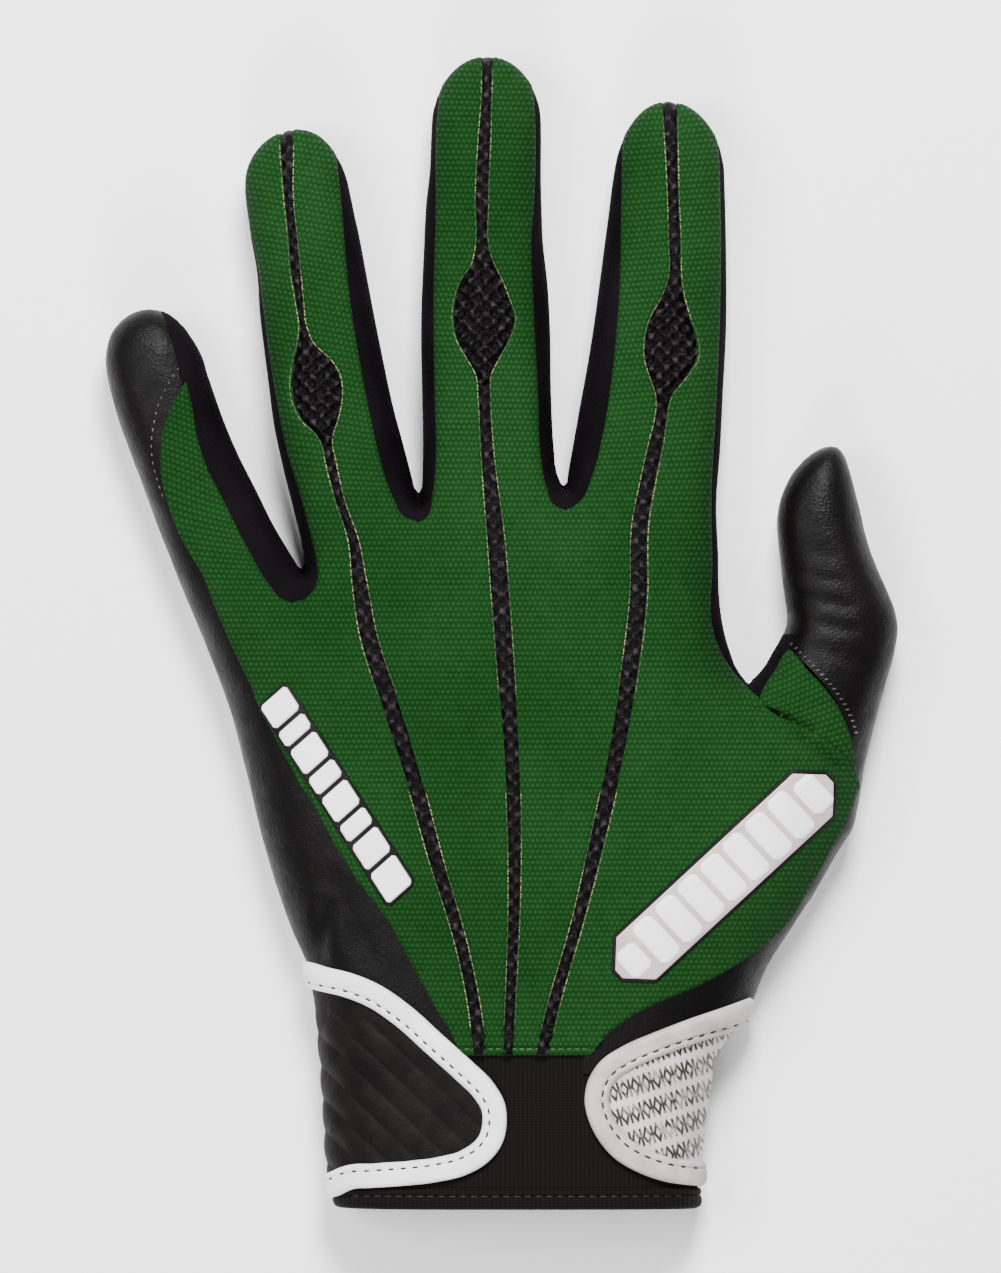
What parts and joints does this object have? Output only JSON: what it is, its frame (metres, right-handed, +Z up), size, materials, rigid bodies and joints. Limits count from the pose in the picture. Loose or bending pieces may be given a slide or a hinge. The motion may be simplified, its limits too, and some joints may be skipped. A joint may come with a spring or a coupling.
{
  "type": "batting glove",
  "caption": "Left-hand batting glove with a dimpled knit back, mesh finger strips, dark leather palm and thumb, ribbed wrist strap and elastic cuff.",
  "frame": {"origin": "under the middle of the glove's box, on the surface that it lies on", "axes": "+X from the little finger to the thumb, +Y from the wrist to the fingertips, +Z up out of the back of the hand"},
  "size_m": [0.162, 0.2346, 0.0266],
  "materials": {
    "back_knit": "dimpled knit, soft sheen",
    "strip_mesh": "coarse dark mesh",
    "gusset_knit": "matt stretch knit",
    "dark_leather": "grained, half gloss",
    "strap_leather": "padded ribs, half gloss",
    "cuff_elastic": "ribbed elastic knit",
    "piping": "satin bound edge",
    "tab_fabric": "pale coated cloth with small grey lozenges",
    "patch_rubber": "soft white rubber"
  },
  "bodies": {
    "root": {"palm_leather": "dark_leather", "thumb_front": "dark_leather", "back_panel_little": "back_knit", "back_panel_ring": "back_knit", "back_panel_middle": "back_knit", "back_panel_index": "back_knit", "thumb_back": "back_knit", "finger_strip_ring": "strip_mesh", "back_strip_ring": "strip_mesh", "knuckle_mesh_ring": "strip_mesh", "finger_strip_middle": "strip_mesh", "back_strip_middle": "strip_mesh", "knuckle_mesh_middle": "strip_mesh", "finger_strip_index": "strip_mesh", "back_strip_index": "strip_mesh", "knuckle_mesh_index": "strip_mesh", "gusset_little_ring": "gusset_knit", "gusset_ring_middle": "gusset_knit", "gusset_middle_index": "gusset_knit", "gusset_index_thumb": "gusset_knit", "outer_leather": "dark_leather", "thumb_leather": "dark_leather", "heel_leather": "dark_leather", "back_hem": "back_knit", "cuff_elastic": "cuff_elastic", "cuff_hem": "cuff_elastic", "strap_panel": "strap_leather", "strap_piping": "piping", "tab_panel": "tab_fabric", "tab_piping": "piping", "side_patch": "patch_rubber", "thumb_patch": "patch_rubber"}
  },
  "joints": []
}
